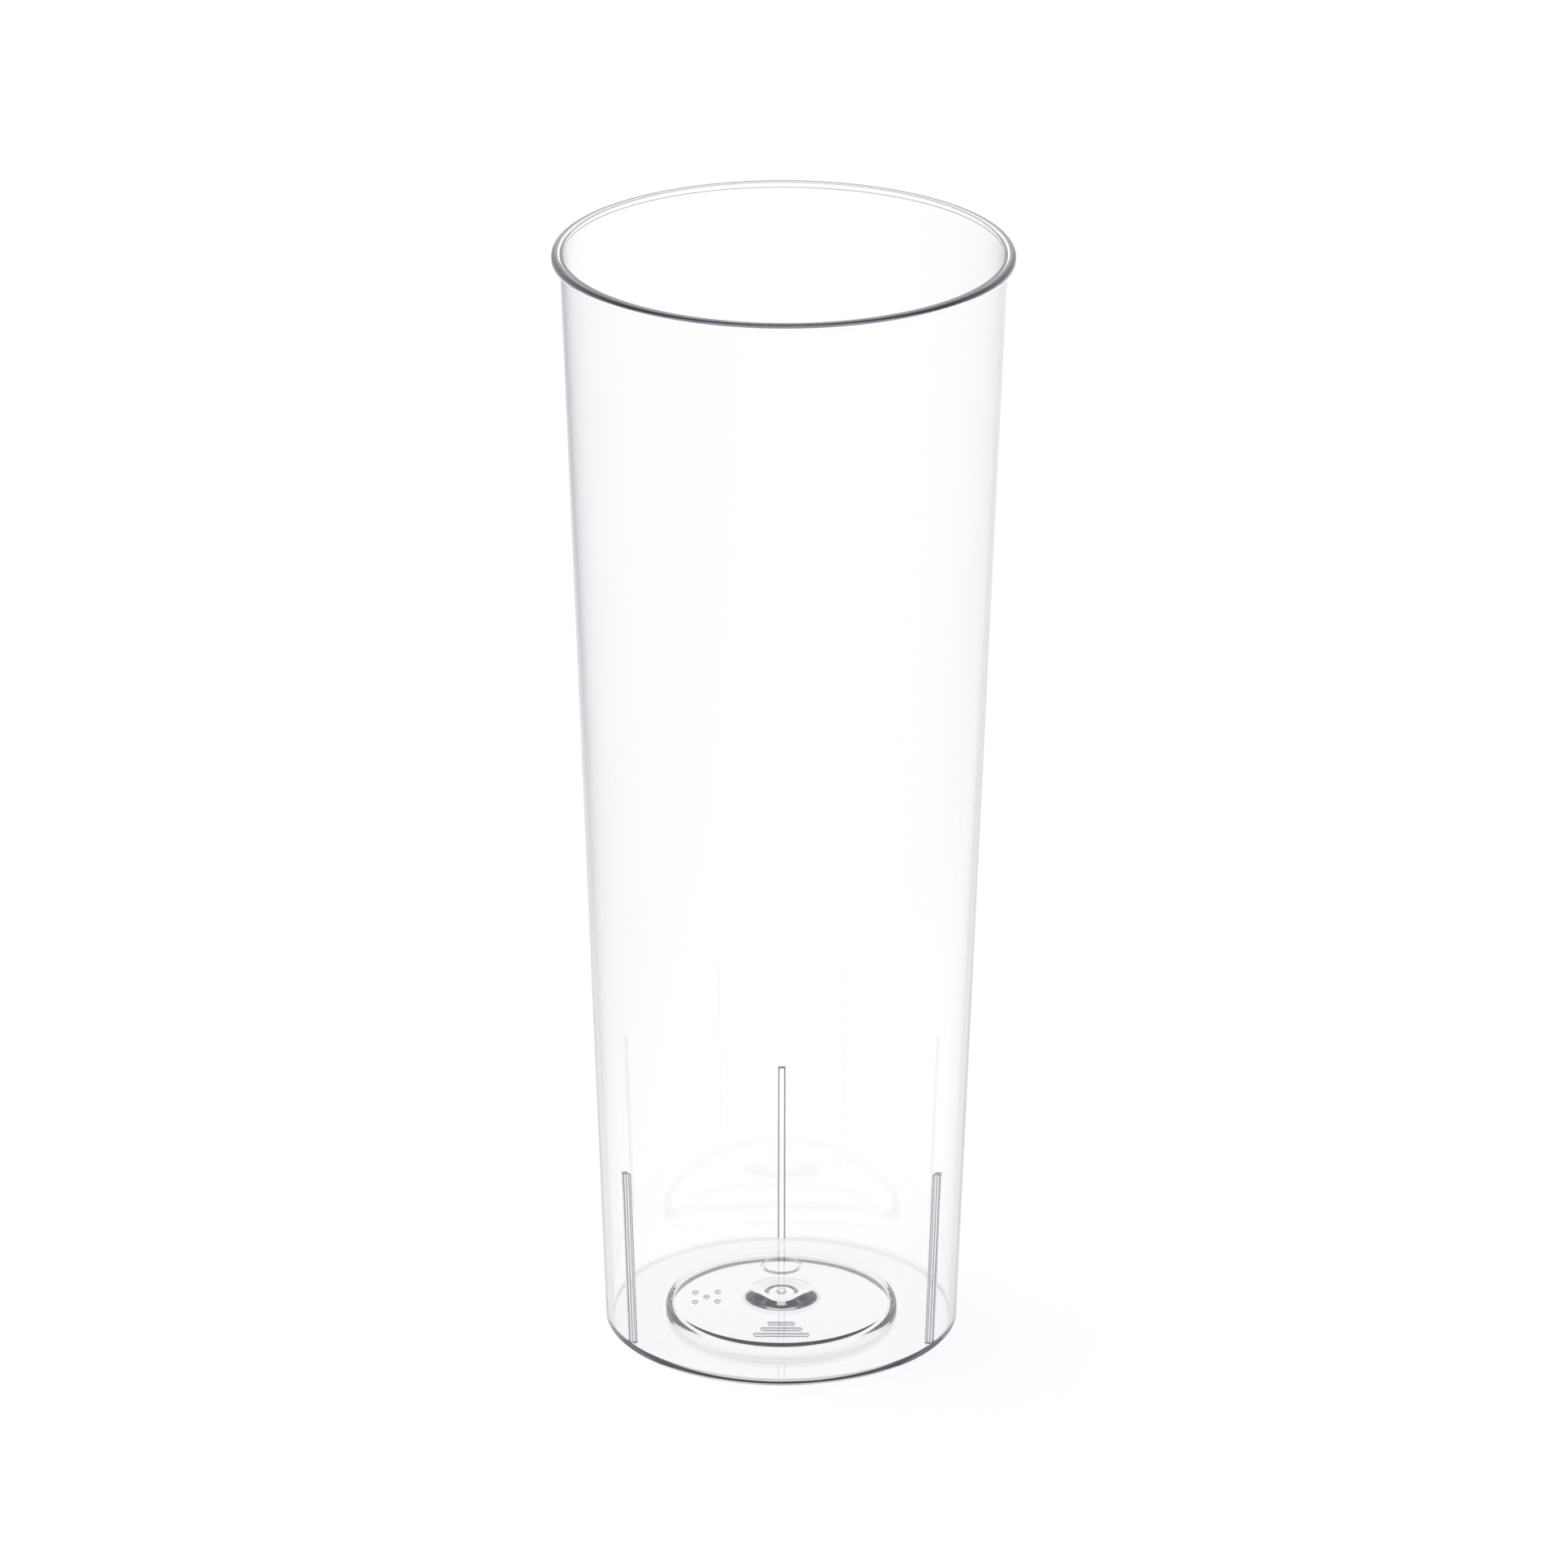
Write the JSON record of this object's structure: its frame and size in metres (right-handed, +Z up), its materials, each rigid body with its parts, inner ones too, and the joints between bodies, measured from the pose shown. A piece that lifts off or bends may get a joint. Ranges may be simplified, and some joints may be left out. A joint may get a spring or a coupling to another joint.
{
  "type": "plastic cup",
  "caption": "Tall tapered clear plastic drinking cup with a beaded rim, a raised floor panel and inner ribs that let cups stack without jamming.",
  "frame": {"origin": "middle of the foot, on the table", "axes": "+Z up along the cup's axis; +Y towards the back stacking rib, away from the camera of the picture; +X to the right"},
  "size_m": [0.0638, 0.0638, 0.16],
  "materials": {
    "clear_plastic": "clear, from a polished mould"
  },
  "bodies": {
    "root": {"side_wall": "clear_plastic", "rim_bead": "clear_plastic", "base_ring": "clear_plastic", "centre_panel": "clear_plastic", "gate_boss": "clear_plastic", "gate_vestige": "clear_plastic", "stacking_rib_back": "clear_plastic", "stacking_rib_left": "clear_plastic", "stacking_rib_right": "clear_plastic", "mould_marks": "clear_plastic"}
  },
  "joints": []
}
